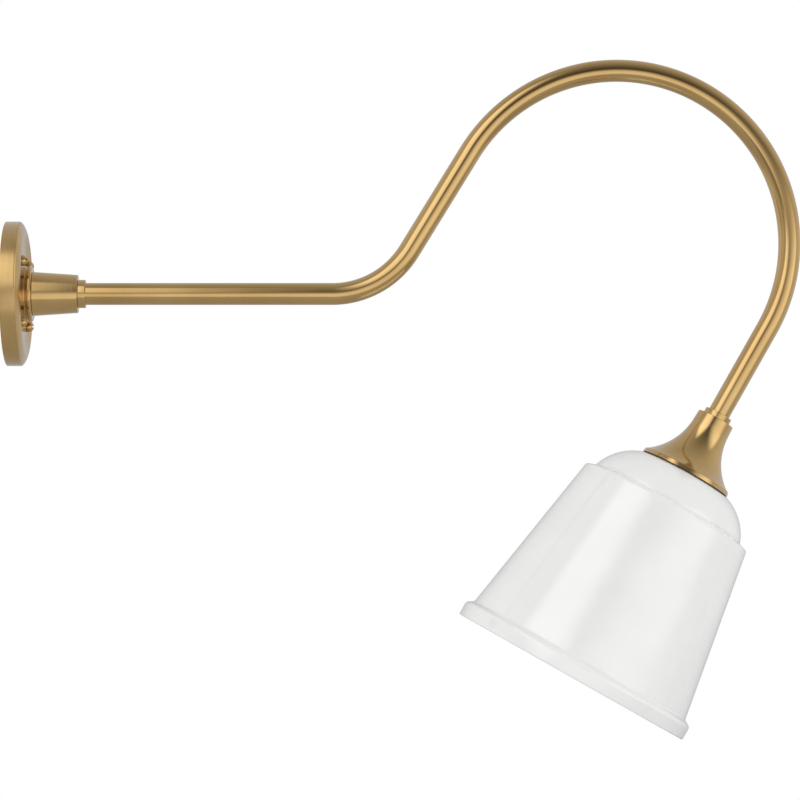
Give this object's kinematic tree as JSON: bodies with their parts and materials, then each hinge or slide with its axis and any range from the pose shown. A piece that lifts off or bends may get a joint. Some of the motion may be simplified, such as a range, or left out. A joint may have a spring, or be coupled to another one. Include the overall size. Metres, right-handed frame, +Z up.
{
  "type": "gooseneck wall sconce",
  "caption": "Wall light with a long bent brass tube arm on a round stepped plate, a bell holder and a downward-facing white glass shade with a domed top.",
  "frame": {"origin": "centre of the wall plate's back, on the wall and on the straight arm's axis", "axes": "+X out of the wall along the straight arm, +Z up, the whole arm lies in the plane Y = 0"},
  "size_m": [0.6902, 0.2214, 0.5906],
  "materials": {
    "satin_brass": "straight-grained satin brass plate",
    "turned_brass": "turned satin brass",
    "tube_brass": "polished and lightly satined drawn brass tube",
    "screw_brass": "polished brass screws",
    "plain_brass": "plain machined brass, inside",
    "zinc_steel": "zinc-plated steel",
    "green_steel": "green-dyed steel earth screw",
    "nickel_shell": "nickel-plated drawn shell",
    "porcelain": "white glazed porcelain",
    "opal_glass": "glossy cased opal glass, opaque white",
    "gasket": "thin translucent silicone",
    "ring_plastic": "moulded ivory phenolic",
    "black_wire": "black insulated lead",
    "white_wire": "white insulated lead",
    "copper_wire": "bare copper lead"
  },
  "bodies": {
    "fixture": {"wall_bracket": "zinc_steel", "ground_screw": "green_steel", "backplate": "satin_brass", "backplate_screws": "screw_brass", "hub_base": "turned_brass", "hub": "turned_brass", "hub_collar": "turned_brass", "wall_end_plug": "plain_brass", "wall_nipple": "zinc_steel", "hub_washer": "zinc_steel", "hub_nut": "zinc_steel", "arm_tube": "tube_brass", "shade_end_plug": "plain_brass", "holder_collar": "turned_brass", "shade_holder": "turned_brass", "holder_nipple": "zinc_steel", "holder_washer": "zinc_steel", "holder_nut": "zinc_steel", "socket_cap": "plain_brass", "socket_body": "porcelain", "screw_shell": "nickel_shell", "centre_contact": "plain_brass", "terminal_posts": "plain_brass", "flange_gasket": "gasket", "live_wire": "black_wire", "neutral_wire": "white_wire", "ground_wire": "copper_wire"},
    "shade": {"glass_shade": "opal_glass", "ring_gasket": "gasket"},
    "ring": {"shade_ring": "ring_plastic"}
  },
  "joints": [
    {"name": "shade_drop", "type": "slide", "parent": "fixture", "child": "shade", "axis": [-0.4924, 0, -0.8704], "range_m": [0, 0.012]},
    {"name": "ring_turn", "type": "hinge", "parent": "shade", "child": "ring", "pos_m": [0.58465, 0, -0.16543], "axis": [-0.4924, 0, -0.8704], "range_deg": [0, 1440]}
  ],
  "couplings": [
    {"joint": "ring_turn", "follows": "shade_drop", "rad_per_m": 2094.4}
  ]
}
